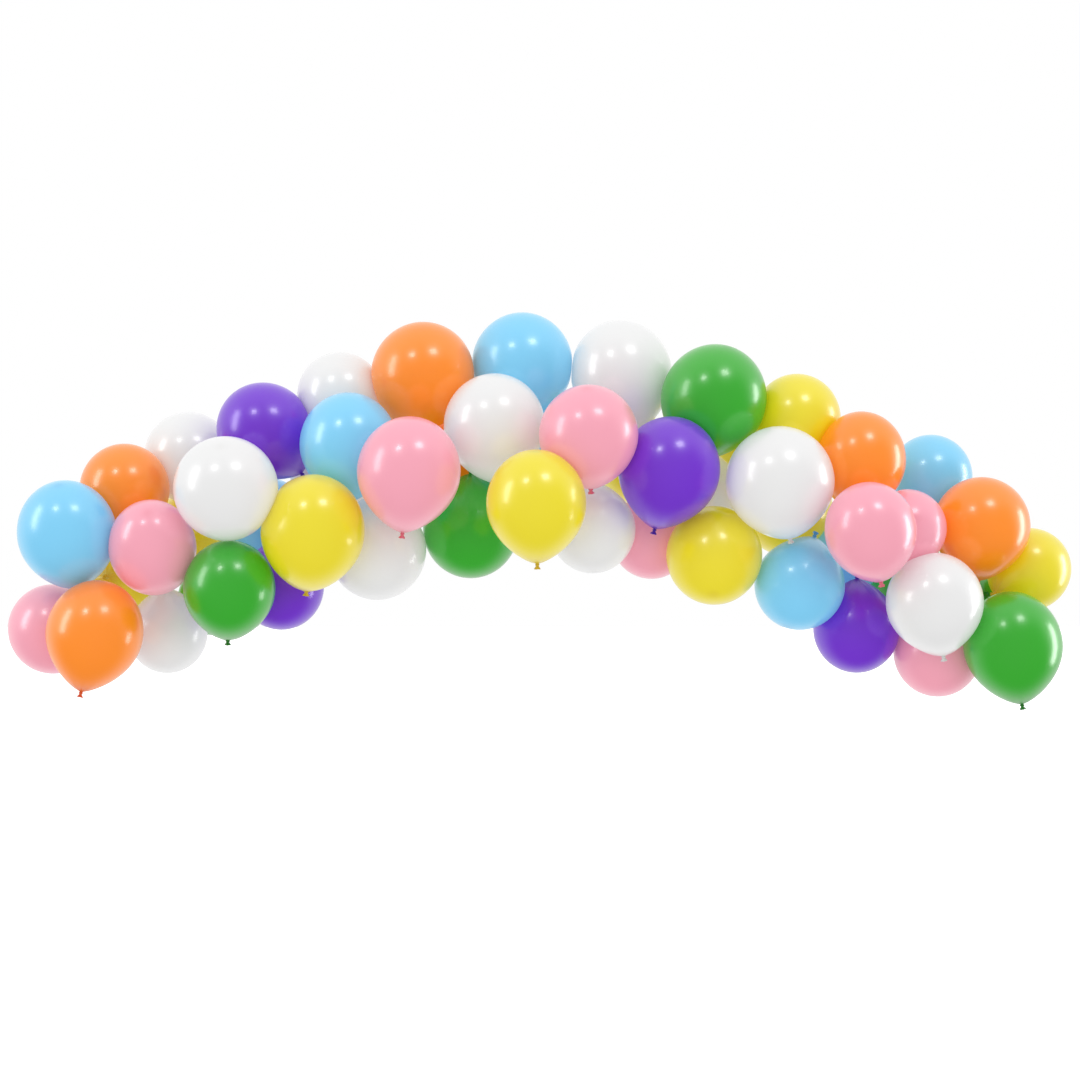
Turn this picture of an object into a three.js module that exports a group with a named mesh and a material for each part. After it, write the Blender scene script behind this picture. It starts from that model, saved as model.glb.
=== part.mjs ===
// Balloon garland: an arch of knotted latex balloons, packed round one line and pressed against
// each other, and against the wall that they hang on.
// Millimetres, +X to the right, +Y to the wall, +Z up. The origin is the hanging point, on the
// line at the crown of the arch.
import * as THREE from "three";

// Arch
const archFall = 505; // sets how far the line drops away from its crown
const archBend = 840; // distance from the crown where the line stops bending and runs straight
const wallDepth = 325; // the wall, behind the line
const wallPress = 9; // how much the wall flattens the balloons that rest on it

// One balloon, as shares of its own width and length
const usualLength = 1.1; // crown to neck, over width
const crownShare = 0.47; // the widest place, from the crown, over crown to neck
const neckTaper = 1.5; // above 1 the lower half draws in to the neck like a pear
const sides = 12;
const ringAngles = [60, 30]; // latitudes of the rings on each side of the widest one, in degrees
const wallRingAngles = [70, 35]; // the first ring of a balloon on the wall bounds its flat
const facetGain = 1 / Math.sqrt(Math.cos(Math.PI / sides)); // keeps the mean width of the facets true

// Knotted neck
const pinchRadius = 4.5; // the tied neck
const pinchDrop = 3;
const lipRadius = 8; // the rolled lip that flares out under the knot
const tailLength = 15; // neck root to lip

// Packing
const squeeze = 0.93; // centre distance of two pressed balloons, over the sum of their radii
const layStep = 12; // least depth from one balloon to the next laid over it
const contactGap = 0.3; // air left between two pressed skins

const colours = {
  white: 0xf3f3f1,
  orange: 0xff8a2b,
  blue: 0x8ccfee,
  pink: 0xf6b3c6,
  purple: 0x7a3ecb,
  green: 0x4cb748,
  yellow: 0xecd92f,
};

// Balloons that rest on the wall, necks to the line:
// colour, place across, height above the line, width.
const wallRow = [
  ["yellow", -1222, 11, 266],
  ["yellow", -1005, 20, 248],
  ["green", -943, -194, 215],
  ["blue", -788, -35, 244],
  ["white", -585, 20, 274],
  ["orange", -245, -30, 272],
  ["blue", 25, -5, 276],
  ["yellow", 290, -20, 256],
  ["white", 475, -65, 236],
  ["yellow", 630, 145, 260],
  ["yellow", 713, -34, 266],
  ["blue", 880, -100, 232],
  ["green", 1075, -85, 236],
  ["green", 1265, -75, 232],
];

// A balloon with a lie of its own: its length, the swing of its neck in the plane of the arch from
// straight down towards the right, and the nod of its neck back towards the wall, in degrees.
function hang(length, swing, nod) {
  return { length, swing, nod };
}

// Every other balloon, in the order that they are laid over each other: colour, place across,
// height above the line, width, and the deepest that it may sit. Those without a lie of their own
// have their necks to the line.
const laidRow = [
  ["white", -1005, 240, 252, 130],
  ["white", -565, 232, 242, 60, hang(262, 0, 0)],
  ["blue", -50, 216, 286, 60, hang(315, 0, 0)],
  ["white", 230, 205, 286, 60, hang(330, 12, 0)],
  ["yellow", 717, 217, 244, 60],
  ["blue", 1118, 237, 234, 130],
  ["yellow", 1386, 106, 234, 130, hang(255, -58, -25)],
  ["pink", -1353, -75, 250, -40, hang(263, 110, 15)],
  ["white", -1055, -236, 225, 72],
  ["purple", -725, -247, 238, 10],
  ["green", -195, -235, 270, 40],
  ["white", -454, -237, 273, -20],
  ["pink", 315, -235, 234, 60],
  ["white", 145, -242, 238, 40],
  ["pink", 1120, -258, 246, 40],
  ["purple", 890, -298, 242, 40],
  ["blue", 720, -243, 250, 40, hang(270, 161, 15)],
  ["orange", 882, 166, 244, 40, hang(286, 0, 5)],
  ["orange", 1227, 146, 268, 40],
  ["pink", 1006, 35, 214, 40],
  ["orange", -1160, 217, 248, 40],
  ["orange", -329, 219, 290, 40, hang(319, -14, 5)],
  ["purple", -770, 205, 266, 40, hang(295, 40, 10)],
  ["white", -125, 38, 279, 40, hang(310, 0, 22)],
  ["green", 480, 184, 292, 40, hang(330, -14, 20)],
  ["blue", -1285, 155, 266, 40, hang(316, 4, 28)],
  ["blue", -525, 72, 268, 40, hang(305, -4, 10)],
  ["yellow", 480, -245, 264, 40, hang(298, 175, 40)],
  ["orange", -1201, -155, 259, -222, hang(306, -13, 0)],
  ["pink", -1051, 2, 236, 40, hang(314, -4, 50)],
  ["green", -841, -203, 248, 40, hang(285, -5, 22)],
  ["yellow", -612, -138, 279, -230, hang(336, -9, 25)],
  ["white", -838, 65, 278, 40, hang(300, 0, 39)],
  ["pink", -350, -57, 276, 40, hang(318, -7, 16)],
  ["purple", 350, -50, 276, 40, hang(315, -13, 15)],
  ["pink", 130, 5, 266, 40, hang(292, 3, 26)],
  ["yellow", -10, -185, 264, 40, hang(307, 1, 15)],
  ["white", 651, 12, 294, 40, hang(322, 13, 24)],
  ["green", 1298, -145, 268, 40, hang(318, 11, 10)],
  ["white", 1070, -137, 262, 40, hang(291, 12, 15)],
  ["pink", 880, -30, 243, 40, hang(283, 15, 22)],
];

// Height of the line at a place across: flat at the crown, then running down to both ends.
function lineHeight(across) {
  return -archFall * (Math.sqrt(1 + (across / archBend) ** 2) - 1);
}

// Unit vector from the centre of a balloon to its neck.
function neckDirection(centre, lie) {
  if (!lie) {
    const onLine = new THREE.Vector3(centre.x, 0, lineHeight(centre.x));
    return onLine.sub(centre).normalize();
  }
  const swing = THREE.MathUtils.degToRad(lie.swing);
  const nod = THREE.MathUtils.degToRad(lie.nod);
  return new THREE.Vector3(
    Math.sin(swing) * Math.cos(nod),
    Math.sin(nod),
    -Math.cos(swing) * Math.cos(nod),
  );
}

// A balloon lies as deep as it is given, or so deep that the wall flattens its crown.
function makeBalloon({ colour, across, above, width, deepest, lie }) {
  const length = lie ? lie.length : usualLength * width;
  const crown = crownShare * length;
  const onWall = deepest === undefined;
  const depth = onWall ? wallDepth - crown + wallPress : deepest;
  const centre = new THREE.Vector3(across, depth, lineHeight(across) + above);
  return { colour, width, crown, lower: length - crown, centre, lie, onWall };
}

// Each laid balloon comes forward until it lies on all those behind it.
function layOver(balloon, earlier) {
  for (const other of earlier) {
    const apart = Math.hypot(balloon.centre.x - other.centre.x, balloon.centre.z - other.centre.z);
    const touching = (balloon.width + other.width) / 2;
    if (apart >= touching) continue;
    const pressed = Math.max((squeeze * touching) ** 2 - apart ** 2, 0);
    const step = Math.max(layStep, Math.sqrt(pressed));
    balloon.centre.y = Math.min(balloon.centre.y, other.centre.y - step);
  }
}

// Half outline from the lip of the tail up to the crown, the neck down the -Y axis.
function balloonProfile({ width, crown, lower, onWall }) {
  const radius = (facetGain * width) / 2;
  const latitudes = (onWall ? wallRingAngles : ringAngles).map(THREE.MathUtils.degToRad);
  const below = latitudes.map((latitude) => [
    radius * Math.cos(latitude) ** neckTaper,
    -lower * Math.sin(latitude),
  ]);
  const above = latitudes.map((latitude) => [radius * Math.cos(latitude), crown * Math.sin(latitude)]);
  const outline = [
    [0, -lower - tailLength],
    [lipRadius, -lower - tailLength],
    [pinchRadius, -lower - pinchDrop],
    ...below,
    [radius, 0],
    ...above.reverse(),
    [0, crown],
  ];
  return outline.map(([x, y]) => new THREE.Vector2(x, y));
}

// The vertices of the body, without the knotted tail.
function bodyPoints(balloon) {
  const position = balloon.geometry.getAttribute("position");
  const points = [];
  for (let i = 0; i < position.count; i++) {
    const point = new THREE.Vector3().fromBufferAttribute(position, i);
    if (point.y > -balloon.lower) points.push({ index: i, point });
  }
  return points;
}

// How far the body reaches from its centre along a direction of the whole garland.
function reachAlong(balloon, direction) {
  const own = direction.clone().applyQuaternion(balloon.turn.clone().invert());
  return Math.max(...balloon.body.map(({ point }) => point.dot(own)));
}

// Presses a body flat where it passes a plane at a distance from its centre: each point beyond the
// plane moves back along the ray from the centre.
function pressFlat(balloon, direction, distance) {
  const own = direction.clone().applyQuaternion(balloon.turn.clone().invert());
  const position = balloon.geometry.getAttribute("position");
  for (const { index, point } of balloon.body) {
    const reach = point.dot(own);
    if (reach > distance) point.multiplyScalar(distance / reach);
    position.setXYZ(index, point.x, point.y, point.z);
  }
}

// The plane between two balloons that would overlap shares the space in the ratio of their reaches.
function contactBetween(one, other) {
  const direction = other.centre.clone().sub(one.centre);
  const distance = direction.length();
  direction.normalize();
  const reach = reachAlong(one, direction);
  const otherReach = reachAlong(other, direction.clone().negate());
  if (reach + otherReach < distance) return null;
  const share = (distance * reach) / (reach + otherReach);
  return { one, other, direction, share, rest: distance - share };
}

const wallBalloons = wallRow.map(([colour, across, above, width, lie]) =>
  makeBalloon({ colour, across, above, width, lie }),
);
const laidBalloons = laidRow.map(([colour, across, above, width, deepest, lie]) =>
  makeBalloon({ colour, across, above, width, deepest, lie }),
);
laidBalloons.forEach((balloon, i) => layOver(balloon, [...wallBalloons, ...laidBalloons.slice(0, i)]));
const balloons = [...wallBalloons, ...laidBalloons];

for (const balloon of balloons) {
  balloon.geometry = new THREE.LatheGeometry(balloonProfile(balloon), sides);
  const down = new THREE.Vector3(0, -1, 0);
  const neck = neckDirection(balloon.centre, balloon.lie);
  balloon.turn = new THREE.Quaternion().setFromUnitVectors(down, neck);
  balloon.body = bodyPoints(balloon);
}

// All contacts are found on the round balloons before any is pressed.
const contacts = balloons
  .flatMap((one, i) => balloons.slice(i + 1).map((other) => contactBetween(one, other)))
  .filter(Boolean);
for (const { one, other, direction, share, rest } of contacts) {
  pressFlat(one, direction, share - contactGap / 2);
  pressFlat(other, direction.clone().negate(), rest - contactGap / 2);
}
for (const balloon of balloons) {
  pressFlat(balloon, new THREE.Vector3(0, 1, 0), wallDepth - balloon.centre.y);
}

// Names count the balloons of each colour from left to right.
const garland = new THREE.Group();
const counts = {};
balloons.sort((one, other) => one.centre.x - other.centre.x);
for (const { colour, geometry, centre, turn } of balloons) {
  counts[colour] = (counts[colour] ?? 0) + 1;
  const material = new THREE.MeshStandardMaterial({
    color: colours[colour],
    roughness: 0.25,
    metalness: 0,
  });
  const mesh = new THREE.Mesh(geometry, material);
  mesh.name = `${colour}_balloon_${counts[colour]}`;
  mesh.position.copy(centre);
  mesh.quaternion.copy(turn);
  garland.add(mesh);
}

export default garland;
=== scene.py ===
# Balloon garland: every CAD balloon is measured, swelled into a fine latex skin with a pleated neck,
# a knot and a rolled lip, and pressed against its neighbours and the wall.
import math
import bpy
import numpy as np
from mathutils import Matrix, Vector


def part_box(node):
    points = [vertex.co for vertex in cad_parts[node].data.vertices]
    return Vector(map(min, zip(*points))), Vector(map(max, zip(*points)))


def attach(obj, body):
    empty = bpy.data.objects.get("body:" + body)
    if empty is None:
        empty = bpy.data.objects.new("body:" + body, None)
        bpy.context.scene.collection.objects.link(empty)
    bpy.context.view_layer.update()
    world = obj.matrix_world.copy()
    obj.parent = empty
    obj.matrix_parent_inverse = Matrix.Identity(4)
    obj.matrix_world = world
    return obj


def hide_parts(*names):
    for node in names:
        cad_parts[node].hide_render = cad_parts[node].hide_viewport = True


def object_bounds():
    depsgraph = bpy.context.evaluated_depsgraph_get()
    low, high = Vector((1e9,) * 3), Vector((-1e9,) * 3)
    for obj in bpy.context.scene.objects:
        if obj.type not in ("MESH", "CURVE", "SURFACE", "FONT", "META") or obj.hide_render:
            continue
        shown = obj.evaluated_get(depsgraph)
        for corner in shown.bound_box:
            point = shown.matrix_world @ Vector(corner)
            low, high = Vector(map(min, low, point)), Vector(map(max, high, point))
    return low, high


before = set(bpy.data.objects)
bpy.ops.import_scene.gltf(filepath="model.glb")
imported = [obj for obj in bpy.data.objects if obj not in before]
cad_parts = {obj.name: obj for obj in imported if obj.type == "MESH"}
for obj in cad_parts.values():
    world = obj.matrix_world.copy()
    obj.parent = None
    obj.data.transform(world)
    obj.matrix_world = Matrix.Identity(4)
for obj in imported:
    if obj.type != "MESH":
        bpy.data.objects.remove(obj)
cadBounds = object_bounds()
print("frame loaded:", len(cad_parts), "balloons")


class Wire:
    # An output socket that can be used in Python sums: each operator adds one Math node.
    def __init__(self, graph, socket):
        self.graph = graph
        self.socket = socket

    def math(self, operation, a, b):
        return self.graph.node("ShaderNodeMath", {"operation": operation}, {0: a, 1: b})

    def __add__(self, other):
        return self.math("ADD", self, other)

    def __sub__(self, other):
        return self.math("SUBTRACT", self, other)

    def __rsub__(self, other):
        return self.math("SUBTRACT", other, self)

    def __mul__(self, other):
        return self.math("MULTIPLY", self, other)

    __radd__ = __add__
    __rmul__ = __mul__


class Graph:
    # The nodes of one material or of the world.
    def __init__(self, owner):
        owner.use_nodes = True
        self.tree = owner.node_tree
        self.tree.nodes.clear()

    # Adds a node: its settings first, then the value or the link of each socket.
    def node(self, kind, settings=None, sockets=None, output=0):
        made = self.tree.nodes.new(kind)
        for name, value in (settings or {}).items():
            setattr(made, name, value)
        for name, value in (sockets or {}).items():
            if isinstance(value, Wire):
                self.tree.links.new(value.socket, made.inputs[name])
            else:
                made.inputs[name].default_value = value
        return Wire(self, made.outputs[output]) if len(made.outputs) else made

    def mixColour(self, factor, a, b):
        sockets = {"Factor": factor, 6: a, 7: b}  # 6 and 7 are the two colours
        settings = {"data_type": "RGBA", "clamp_factor": True}
        return self.node("ShaderNodeMix", settings, sockets, output=2)


latex = {
    "colours": {  # stretched skin, and the slack latex of the neck, knot and lip
        "white": ((0.785, 0.785, 0.785), (0.66, 0.65, 0.63)),
        "orange": ((1.0, 0.26, 0.006), (0.68, 0.08, 0.004)),
        "blue": ((0.20, 0.61, 0.90), (0.07, 0.32, 0.62)),
        "pink": ((0.90, 0.36, 0.46), (0.72, 0.14, 0.20)),
        "purple": ((0.16, 0.018, 0.62), (0.06, 0.008, 0.34)),
        "green": ((0.030, 0.42, 0.018), (0.012, 0.20, 0.012)),
        "yellow": ((0.83, 0.70, 0.010), (0.62, 0.42, 0.006)),
    },
    "roughness": 0.34,
    "slackRoughness": 0.18,  # added where the latex is slack
    "sheen": 0.65,
    "scattered": 0.78,  # share of the colour that scatters light at the surface; the painted glow makes up the rest
    "paintedGlow": 0.26,  # painted glow: the skin's own colour glows evenly, standing in for light through the thin latex and lifting the shade between balloons
    "coat": 0.50,
    "coatRoughness": 0.17,
    "cloudSize": 0.16,  # metres over which the skin's stretch wanders
    "cloudTint": 0.16,  # how far that moves the colour towards slack
    "cloudRoughness": 0.08,
    "grainSize": 0.0011,
    "grainDepth": 0.0002,
    "grainStrength": 0.12,
}


# Colour and roughness run from stretched to slack with the skin's thickness and a wide, faint cloud.
def makeLatex(slot, stretched, slack):
    material = bpy.data.materials.new("latex_" + slot)
    graph = Graph(material)
    place = graph.node("ShaderNodeTexCoord", output="Object")
    thickness = graph.node("ShaderNodeAttribute", {"attribute_name": "thickness"}, output="Fac")
    cloud = graph.node(
        "ShaderNodeTexNoise", {}, {"Vector": place, "Scale": 1 / latex["cloudSize"], "Detail": 2.0}
    )
    grain = graph.node(
        "ShaderNodeTexNoise", {}, {"Vector": place, "Scale": 1 / latex["grainSize"], "Detail": 3.0}
    )
    slackness = thickness + (cloud - 0.5) * latex["cloudTint"]
    colour = graph.mixColour(slackness, (*stretched, 1), (*slack, 1))
    surface = graph.mixColour(latex["scattered"], (0, 0, 0, 1), colour)
    roughness = latex["roughness"] + (cloud - 0.5) * latex["cloudRoughness"]
    roughness = roughness + thickness * latex["slackRoughness"]
    relief = graph.node(
        "ShaderNodeBump",
        {},
        {"Strength": latex["grainStrength"], "Distance": latex["grainDepth"], "Height": grain},
    )
    skin = graph.node(
        "ShaderNodeBsdfPrincipled",
        {},
        {
            "Base Color": surface,
            "Roughness": roughness,
            "Normal": relief,
            "Specular IOR Level": latex["sheen"],
            "Coat Weight": latex["coat"],
            "Coat Roughness": latex["coatRoughness"],
            # Painted glow: the skin emits its own colour, which brightens the shade where balloons
            # press together
            "Emission Color": colour,
            "Emission Strength": latex["paintedGlow"],
        },
    )
    graph.node("ShaderNodeOutputMaterial", {}, {"Surface": skin})
    return material


materials = {slot: makeLatex(slot, *pair) for slot, pair in latex["colours"].items()}
print("latex mixed:", len(materials), "colours")

cad = {  # how the CAD balloons are made up, in metres
    "crownShare": 0.47,  # crown to widest place, over crown to neck
    "sides": 12,
    "tiedDrop": 0.003,  # neck root to the tied neck
    "tiedRadius": 0.0045,
    "lipRadius": 0.008,
    "contactGap": 0.0003,
    "cornerTolerance": 2e-5,
}


# The separate corners of one CAD balloon, whose mesh is loose triangles.
def cornersOf(node):
    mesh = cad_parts[node].data
    corners = np.zeros(len(mesh.vertices) * 3)
    mesh.vertices.foreach_get("co", corners)
    return np.unique(corners.reshape(-1, 3).round(7), axis=0)


# The corners of the tied neck and of the lip are known by how close they stand. The two rings give the
# axis, and the corner farthest from it lies on the widest ring, which gives the centre and the radius.
def measureBalloon(node):
    corners = cornersOf(node)
    gaps = np.linalg.norm(corners[:, None] - corners[None], axis=2)
    np.fill_diagonal(gaps, 1)
    nearest = gaps.min(1)
    side = 2 * math.sin(math.pi / cad["sides"])
    near = cad["cornerTolerance"]
    tied = corners[np.isclose(nearest, side * cad["tiedRadius"], atol=near)].mean(0)
    lip = corners[np.isclose(nearest, side * cad["lipRadius"], atol=near)].mean(0)
    axis = (lip - tied) / np.linalg.norm(lip - tied)
    root = tied - axis * cad["tiedDrop"]
    height = (root - corners) @ axis  # up from the neck root towards the crown
    off = np.linalg.norm(root - corners - height[:, None] * axis, axis=1)
    lower = height[np.argmax(off)]
    return {
        "node": node,
        "slot": node.split("_")[0],
        "centre": root - axis * lower,
        "axis": axis,
        "radius": off.max() * math.sqrt(math.cos(math.pi / cad["sides"])),  # mean width of the facets
        "lower": lower,
        "crown": lower * cad["crownShare"] / (1 - cad["crownShare"]),
    }


balloons = [measureBalloon(node) for node in sorted(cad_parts)]
wallDepth = max(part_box(node)[1].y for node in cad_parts)
print("balloons measured, widest", round(2000 * max(b["radius"] for b in balloons)), "mm")

skin = {
    "around": 84,  # grid steps round the axis
    "along": 50,  # grid steps from the crown to the neck
    "neckTaper": 1.5,  # above 1 the lower half draws in to the neck like a pear
    "neckRadius": 0.0046,
    "pleats": 11,
    "pleatDepth": 0.10,
    "pleatReach": 0.010,  # how far the pleats run up the skin
    "pressSharpness": 70,  # higher is a crisper edge round a pressed flat
    "slackReach": 0.014,  # how far slack latex runs up from the neck
    "crownReach": 0.016,  # radius of the thicker spot at the crown
    "crownSlack": 0.25,
}

tailOutline = np.array(
    [  # drop below the neck root and radius, in millimetres: knot, flared skirt, rolled lip, inside
        (0.0, 4.6),
        (1.0, 4.5),
        (2.2, 5.6),
        (3.6, 6.3),
        (5.0, 5.9),
        (6.0, 4.6),
        (6.8, 4.0),
        (7.8, 4.3),
        (9.6, 5.4),
        (11.6, 6.8),
        (13.2, 7.8),
        (13.9, 8.4),
        (14.6, 8.5),
        (15.0, 8.0),
        (14.7, 7.3),
        (13.9, 7.0),
        (12.2, 5.6),
        (10.4, 3.2),
        (9.6, 0.0),
    ]
) / 1000


# A profile point on the body at a latitude from 90 degrees at the crown to -90 at the neck: the upper
# half is an ellipse, radius r cos, height c sin; the lower half is drawn in, radius r cos^taper.
def bodyProfile(balloon):
    latitude = np.radians(np.linspace(90, -90, skin["along"] + 1)[:-1])
    upper = latitude > 0
    cosine = np.cos(latitude)
    radius = balloon["radius"] * np.where(upper, cosine, cosine ** skin["neckTaper"])
    height = np.sin(latitude) * np.where(upper, balloon["crown"], balloon["lower"])
    nearNeck = np.where(upper, 0, skin["neckRadius"])
    radius = (radius**3 + nearNeck**3) ** (1 / 3)  # a fillet between skin and neck
    return radius, height


# Smooth minimum of positive lengths along axis 0: the p-norm of their reciprocals.
def softMinimum(lengths):
    sharpness = skin["pressSharpness"]
    return (lengths**-sharpness).sum(0) ** (-1 / sharpness)


# Two directions across a balloon and one up its axis, as it would turn from hanging straight down.
def axesOf(balloon):
    down = Vector(balloon["axis"])
    turn = Vector((0, 0, -1)).rotation_difference(down)
    side = np.array(turn @ Vector((1, 0, 0)))
    front = np.array(turn @ Vector((0, 1, 0)))
    return side, front, -balloon["axis"]


# Body points: centre + radius (cos a side + sin a front) + height up, for every latitude and angle a.
def bodyPoints(balloon):
    radius, height = bodyProfile(balloon)
    angle = np.linspace(0, 2 * np.pi, skin["around"], endpoint=False)
    side, front, up = axesOf(balloon)
    ring = np.cos(angle)[:, None] * side + np.sin(angle)[:, None] * front
    return radius[:, None, None] * ring[None] + height[:, None, None] * up


for balloon in balloons:
    balloon["body"] = bodyPoints(balloon)
    balloon["planes"] = []


# Two balloons that would overlap meet on a plane that shares the space in the ratio of their reaches.
def findContacts():
    count = 0
    for i, one in enumerate(balloons):
        for other in balloons[i + 1 :]:
            direction = other["centre"] - one["centre"]
            distance = np.linalg.norm(direction)
            direction = direction / distance
            reach = (one["body"] @ direction).max()
            otherReach = (other["body"] @ -direction).max()
            if reach + otherReach < distance:
                continue
            share = distance * reach / (reach + otherReach)
            one["planes"].append((direction, share - cad["contactGap"] / 2))
            other["planes"].append((-direction, distance - share - cad["contactGap"] / 2))
            count += 1
    for balloon in balloons:
        toWall = wallDepth - balloon["centre"][1]
        if (balloon["body"][..., 1]).max() > toWall:
            balloon["planes"].append((np.array([0.0, 1.0, 0.0]), toWall))
    return count


# Presses a body: along each ray from the centre, the skin stops at the soft minimum of its own reach
# and of the reach to every contact plane.
def pressBody(balloon):
    points = balloon["body"]
    reach = np.linalg.norm(points, axis=2)
    ray = points / reach[..., None]
    stops = [reach]
    for direction, distance in balloon["planes"]:
        lean = np.maximum(ray @ direction, 1e-4)
        stops.append(distance / lean)
    return ray * softMinimum(np.array(stops))[..., None]


tail = {
    "knotDrop": 0.0037,  # middle of the knot, below the neck root
    "knotReach": 0.002,
    "knotBulge": 0.08,
    "knotLean": 0.0007,
    "skirtFrom": 0.007,  # where the flared skirt starts
    "skirtLength": 0.008,
    "skirtFolds": 0.13,
    "lipWave": 0.0006,
}


# The tail: the outline turned round the axis. The knot's ring leans and the skirt falls in folds.
def tailPoints(balloon, phase):
    steps = np.linspace(0, len(tailOutline) - 1, 2 * len(tailOutline) - 1)
    drop = np.interp(steps, np.arange(len(tailOutline)), tailOutline[:, 0])[:, None]
    radius = np.interp(steps, np.arange(len(tailOutline)), tailOutline[:, 1])[:, None]
    angle = np.linspace(0, 2 * np.pi, skin["around"], endpoint=False)[None]
    knot = np.exp(-(((drop - tail["knotDrop"]) / tail["knotReach"]) ** 2))
    skirt = np.clip((drop - tail["skirtFrom"]) / tail["skirtLength"], 0, 1) ** 1.5
    fold = np.sin(5 * angle + phase) + 0.5 * np.sin(3 * angle + 2.1 * phase)
    bulge = tail["knotBulge"] * knot * np.sin(2 * angle + phase)
    turned = radius * (1 + tail["skirtFolds"] * skirt * fold + bulge)
    lean = tail["knotLean"] * knot * np.sin(angle + phase)
    dropped = drop + lean + tail["lipWave"] * skirt * np.cos(2 * angle)
    side, front, up = axesOf(balloon)
    ring = np.cos(angle)[..., None] * side + np.sin(angle)[..., None] * front
    return turned[..., None] * ring - (balloon["lower"] + dropped)[..., None] * up


# Radial pleats gather the skin at the neck: the radius swings with the angle and dies away up the skin.
def pleatBody(balloon, points, phase):
    angle = np.linspace(0, 2 * np.pi, skin["around"], endpoint=False)
    up = -balloon["axis"]
    height = points @ up
    fade = np.exp(-(height + balloon["lower"]) / skin["pleatReach"])
    swing = skin["pleatDepth"] * fade * np.sin(skin["pleats"] * angle + phase)[None]
    across = points - height[..., None] * up
    return points + across * swing[..., None]


# Faces of a grid of rings closed by a pole at each end.
def ringFaces(rings, around):
    column = np.arange(around)
    following = np.roll(column, -1)
    rows = np.arange(rings - 1)[:, None] * around
    below = rows + around
    quads = np.stack([rows + column, below + column, below + following, rows + following], -1)
    top = rings * around
    last = (rings - 1) * around
    caps = [(top, a, b) for a, b in zip(column, following)]
    ends = [(top + 1, last + b, last + a) for a, b in zip(column, following)]
    return quads.reshape(-1, 4).tolist() + caps + ends


# One closed skin, from the crown down the body and the tail to the middle of the lip's hollow. Its
# thickness falls off up the skin from the neck, with a faint thicker spot at the crown.
def buildBalloon(balloon, index):
    phase = 2.4 * index  # the golden angle, in radians, so that no two tails match
    body = pleatBody(balloon, pressBody(balloon), phase)
    end = tailPoints(balloon, phase)
    rings = np.concatenate([body[1:], end[1:-1]])
    poles = np.stack([body[0, 0], end[-1, 0]])
    points = np.concatenate([rings.reshape(-1, 3), poles])
    depth = points @ -balloon["axis"]
    neckward = np.exp(-np.maximum(depth + balloon["lower"], 0) / skin["slackReach"])
    fromCrown = np.linalg.norm(points + balloon["axis"] * balloon["crown"], axis=1)
    crownward = np.exp(-((fromCrown / skin["crownReach"]) ** 2))
    mesh = bpy.data.meshes.new(balloon["node"] + "_skin")
    faces = ringFaces(len(rings), skin["around"])
    mesh.from_pydata((points + balloon["centre"]).tolist(), [], faces)
    mesh.polygons.foreach_set("use_smooth", np.ones(len(mesh.polygons), bool))
    thickness = mesh.attributes.new("thickness", "FLOAT", "POINT")
    thickness.data.foreach_set("value", np.clip(neckward + skin["crownSlack"] * crownward, 0, 1))
    mesh.materials.append(materials[balloon["slot"]])
    mesh.update()
    piece = bpy.data.objects.new(balloon["node"] + "_skin", mesh)
    bpy.context.scene.collection.objects.link(piece)
    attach(piece, "root")
    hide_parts(balloon["node"])
    return piece


print("contacts found:", findContacts())
pieces = [buildBalloon(balloon, index) for index, balloon in enumerate(balloons)]
print("balloons built:", len(pieces), "faces:", sum(len(p.data.polygons) for p in pieces))

studio = {
    "floorDrop": 1.0,  # metres from the lowest balloon to the floor
    "floorHalf": 30.0,
    "floorWhite": 0.9,
    "floorGlow": 0.6,  # keeps the floor as white as the backdrop
    "backdrop": 1.0,  # brightness of the white behind the garland
    "skyAbove": 1.05,  # soft light of the white room from above and from below
    "skyBelow": 0.82,
    "skyFront": 0.22,  # added from in front
    "mirrorDark": 0.05,  # the balloons mirror a dim studio in front and white walls all round it
    "mirrorBright": 1.0,
    "mirrorEdges": (-0.5, 0.35),
    "lightDistance": 9.0,
    "lights": {  # direction from the garland, width and height in metres, radiance
        "keyLeft": ((-0.366, -0.671, 0.645), 1.3, 1.3, 20.0),
        "keyRight": ((0.337, -0.574, 0.745), 2.2, 1.8, 13.0),
        "stripLeft": ((-0.905, -0.305, 0.28), 2.2, 5.4, 6.5),
        "stripRight": ((0.985, 0.155, -0.04), 2.4, 6.5, 8.0),
    },
}


# A flat white square under the garland. The balloons neither mirror it nor are lit by it.
def makeFloor(lowest):
    half = studio["floorHalf"]
    level = lowest - studio["floorDrop"]
    mesh = bpy.data.meshes.new("floor")
    mesh.from_pydata(
        [(-half, -half, level), (half, -half, level), (half, half, level), (-half, half, level)],
        [],
        [(0, 1, 2, 3)],
    )
    material = bpy.data.materials.new("white_floor")
    graph = Graph(material)
    paper = graph.node(
        "ShaderNodeBsdfPrincipled",
        {},
        {
            "Base Color": (*[studio["floorWhite"]] * 3, 1),
            "Roughness": 0.9,
            "Emission Color": (1, 1, 1, 1),
            "Emission Strength": studio["floorGlow"],
        },
    )
    graph.node("ShaderNodeOutputMaterial", {}, {"Surface": paper})
    mesh.materials.append(material)
    floor = bpy.data.objects.new("floor", mesh)
    bpy.context.scene.collection.objects.link(floor)
    floor.visible_diffuse = False
    floor.visible_glossy = False


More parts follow.
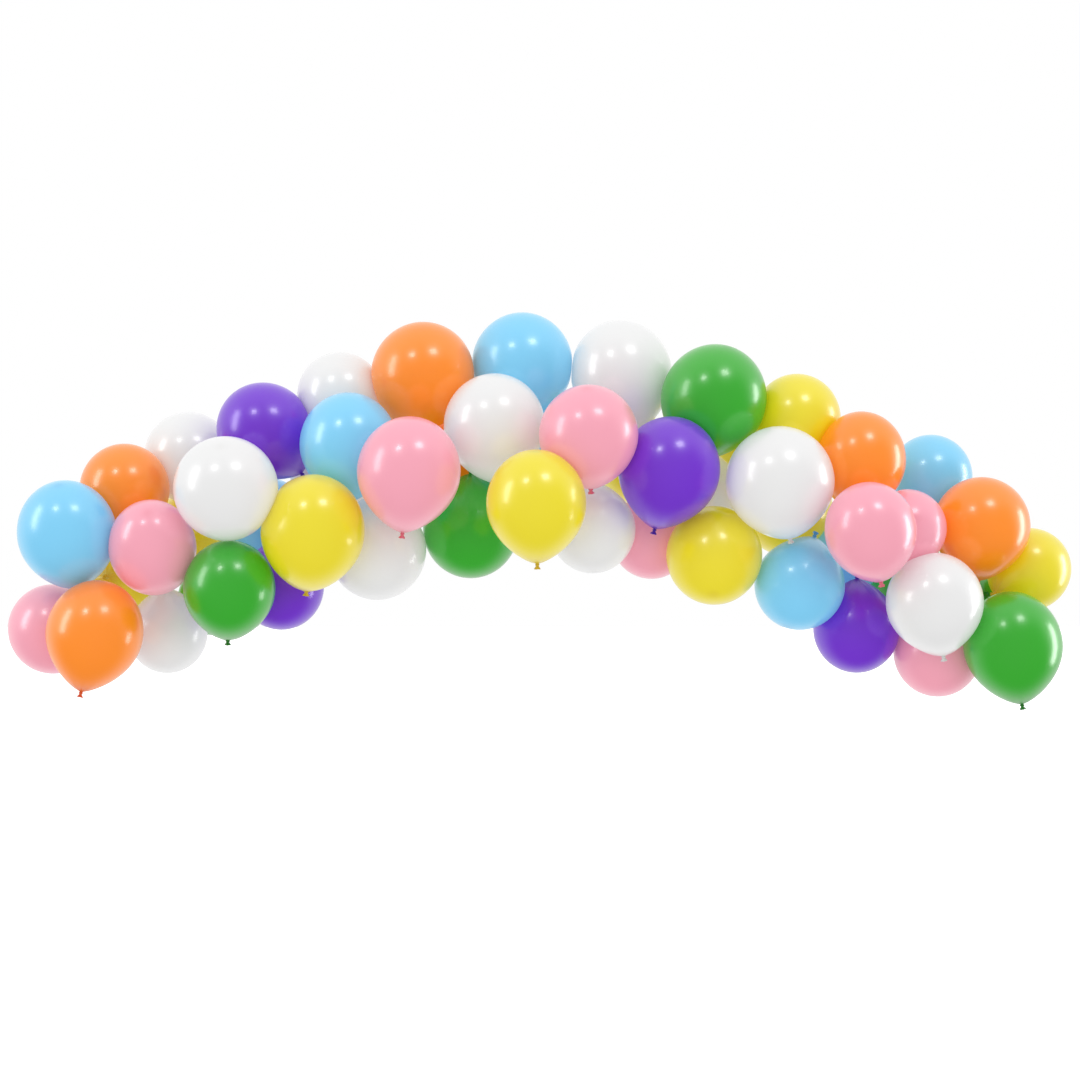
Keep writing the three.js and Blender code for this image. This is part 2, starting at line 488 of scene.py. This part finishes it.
# The room is white to the camera, and lights the garland from above more than from below. What the
# balloons mirror grows from dark in front to white beside, above and behind them.
def makeRoom():
    world = bpy.data.worlds.new("white_room")
    bpy.context.scene.world = world
    graph = Graph(world)
    direction = graph.node("ShaderNodeTexCoord", output="Generated")
    height = graph.node("ShaderNodeSeparateXYZ", {}, {0: direction}, output="Z")
    behind = graph.node("ShaderNodeSeparateXYZ", {}, {0: direction}, output="Y")
    rise = studio["skyAbove"] - studio["skyBelow"]
    glow = (height + 1) * (rise / 2) + (1 - behind) * (studio["skyFront"] / 2) + studio["skyBelow"]
    mirrored = graph.node(
        "ShaderNodeMapRange",
        {"interpolation_type": "SMOOTHSTEP"},
        {
            "Value": behind + height * 0.5,
            "From Min": studio["mirrorEdges"][0],
            "From Max": studio["mirrorEdges"][1],
            "To Min": studio["mirrorDark"],
            "To Max": studio["mirrorBright"],
        },
    )
    seen = graph.node("ShaderNodeLightPath", output="Is Camera Ray")
    glossy = graph.node("ShaderNodeLightPath", output="Is Glossy Ray")
    lit = glossy * mirrored + (1 - glossy) * glow
    strength = seen * studio["backdrop"] + (1 - seen) * lit
    air = graph.node("ShaderNodeBackground", {}, {"Color": (1, 1, 1, 1), "Strength": strength})
    graph.node("ShaderNodeOutputWorld", {}, {"Surface": air})


# Soft boxes that face the garland. Energy is radiance x pi x area.
def makeLights(middle):
    for name, (direction, width, height, radiance) in studio["lights"].items():
        lamp = bpy.data.lights.new(name, "AREA")
        lamp.shape = "RECTANGLE"
        lamp.size = width
        lamp.size_y = height
        lamp.energy = radiance * math.pi * width * height
        light = bpy.data.objects.new(name, lamp)
        away = Vector(direction).normalized()
        light.location = middle + away * studio["lightDistance"]
        light.rotation_euler = away.to_track_quat("Z", "Y").to_euler()
        light.visible_camera = False
        light.visible_diffuse = False  # they only make highlights; the room lights the skins
        bpy.context.scene.collection.objects.link(light)


camera = {
    "distance": 6.0,  # metres in front of the hanging point
    "drop": 0.28,  # metres below it
    "frameWidth": 3.024,  # width of the view at the hanging point
    "sensor": 36.0,
}


def makeCamera():
    lens = bpy.data.cameras.new("camera")
    lens.sensor_width = camera["sensor"]
    lens.lens = camera["sensor"] * camera["distance"] / camera["frameWidth"]
    lens.clip_end = 200
    viewer = bpy.data.objects.new("camera", lens)
    viewer.location = (0, -camera["distance"], -camera["drop"])
    viewer.rotation_euler = (math.pi / 2, 0, 0)
    bpy.context.scene.collection.objects.link(viewer)
    bpy.context.scene.camera = viewer


lowest, highest = (Vector(corner) for corner in cadBounds)
makeFloor(lowest.z)
makeRoom()
makeLights((lowest + highest) / 2)
makeCamera()
bpy.context.scene.view_settings.view_transform = "Standard"
print("studio set")
